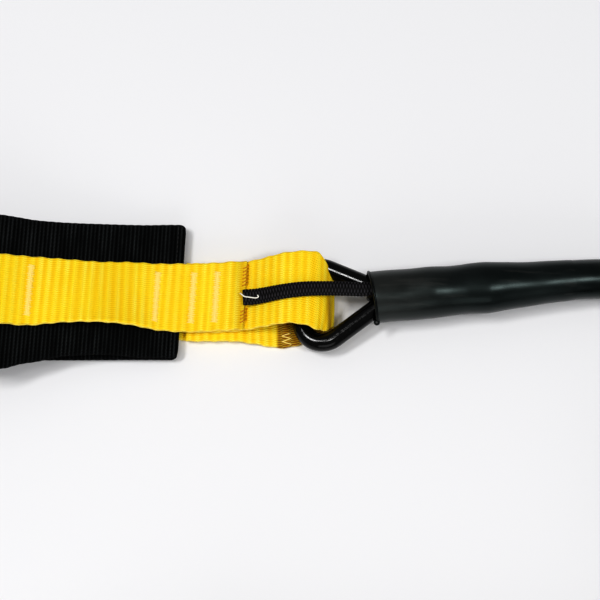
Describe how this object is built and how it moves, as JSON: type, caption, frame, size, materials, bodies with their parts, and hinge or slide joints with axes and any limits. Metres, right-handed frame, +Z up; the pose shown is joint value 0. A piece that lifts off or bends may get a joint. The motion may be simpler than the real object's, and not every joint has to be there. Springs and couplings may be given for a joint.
{
  "type": "tow rope handle",
  "caption": "Soft webbing hand loop on a triangular ring, with a sleeved rubber tow tube, a flat safety cord and a carabiner at the far end.",
  "frame": {"origin": "on the surface that the handle lies on, under the ring's bar, on the centre line of the strap's neck", "axes": "+X is the tow direction, from the hand loop to the ring and the tube; +Z is up"},
  "size_m": [0.5092, 0.1799, 0.039],
  "materials": {
    "yellow_webbing": "woven, ribbed",
    "black_webbing": "woven, finely ribbed",
    "tack_thread": "stitched thread",
    "end_thread": "stitched thread",
    "braided_cord": "braided",
    "coated_steel": "gloss",
    "sleeve_rubber": "satin",
    "tube_rubber": "satin",
    "band_rubber": "satin",
    "plug_steel": "satin",
    "tie_webbing": "woven",
    "carabiner_alloy": "satin"
  },
  "bodies": {
    "tow_cord": {"ring": "coated_steel", "sleeve_front": "sleeve_rubber", "mouth_band_front": "band_rubber", "anchor_plug_front": "plug_steel", "ferrule_front_inner": "plug_steel", "ferrule_front_outer": "plug_steel", "tube_lead": "tube_rubber", "tube_coil": "tube_rubber", "tube_tail": "tube_rubber", "coil_tie_side": "tie_webbing", "coil_tie_near": "tie_webbing", "sleeve_rear": "sleeve_rubber", "anchor_plug_rear": "plug_steel", "ferrule_rear_inner": "plug_steel", "ferrule_rear_outer": "plug_steel"},
    "handle": {"main_strap": "yellow_webbing", "grip_webbing": "black_webbing", "ring_tab": "yellow_webbing", "bartack_neck_front": "tack_thread", "bartack_neck_middle": "tack_thread", "bartack_neck_rear": "tack_thread", "bartack_grip_front": "tack_thread", "bartack_grip_middle": "tack_thread", "bartack_grip_rear": "tack_thread", "end_stitching": "end_thread", "safety_cord": "braided_cord"},
    "carabiner": {"carabiner_body": "carabiner_alloy", "gate_pin": "plug_steel", "gate_spring": "plug_steel"},
    "gate": {"gate": "carabiner_alloy"}
  },
  "joints": [
    {"name": "handle_swing", "type": "hinge", "parent": "tow_cord", "child": "handle", "pos_m": [0, -0.004, 0.0057], "axis": [-0.0906, 0.9959, 0], "range_deg": [-60, 100], "deforming": ["ring_tab", "safety_cord"]},
    {"name": "carabiner_swing", "type": "hinge", "parent": "tow_cord", "child": "carabiner", "pos_m": [-0.047, -0.14, 0.009], "axis": [0, 1, 0], "range_deg": [-80, 80]},
    {"name": "gate_swing", "type": "hinge", "parent": "carabiner", "child": "gate", "pos_m": [-0.06389, -0.152, 0.0071], "axis": [0.1118, 0, -0.9937], "range_deg": [0, 25], "stiffness_Nm_per_rad": 0.05, "springref_deg": -11.46}
  ]
}
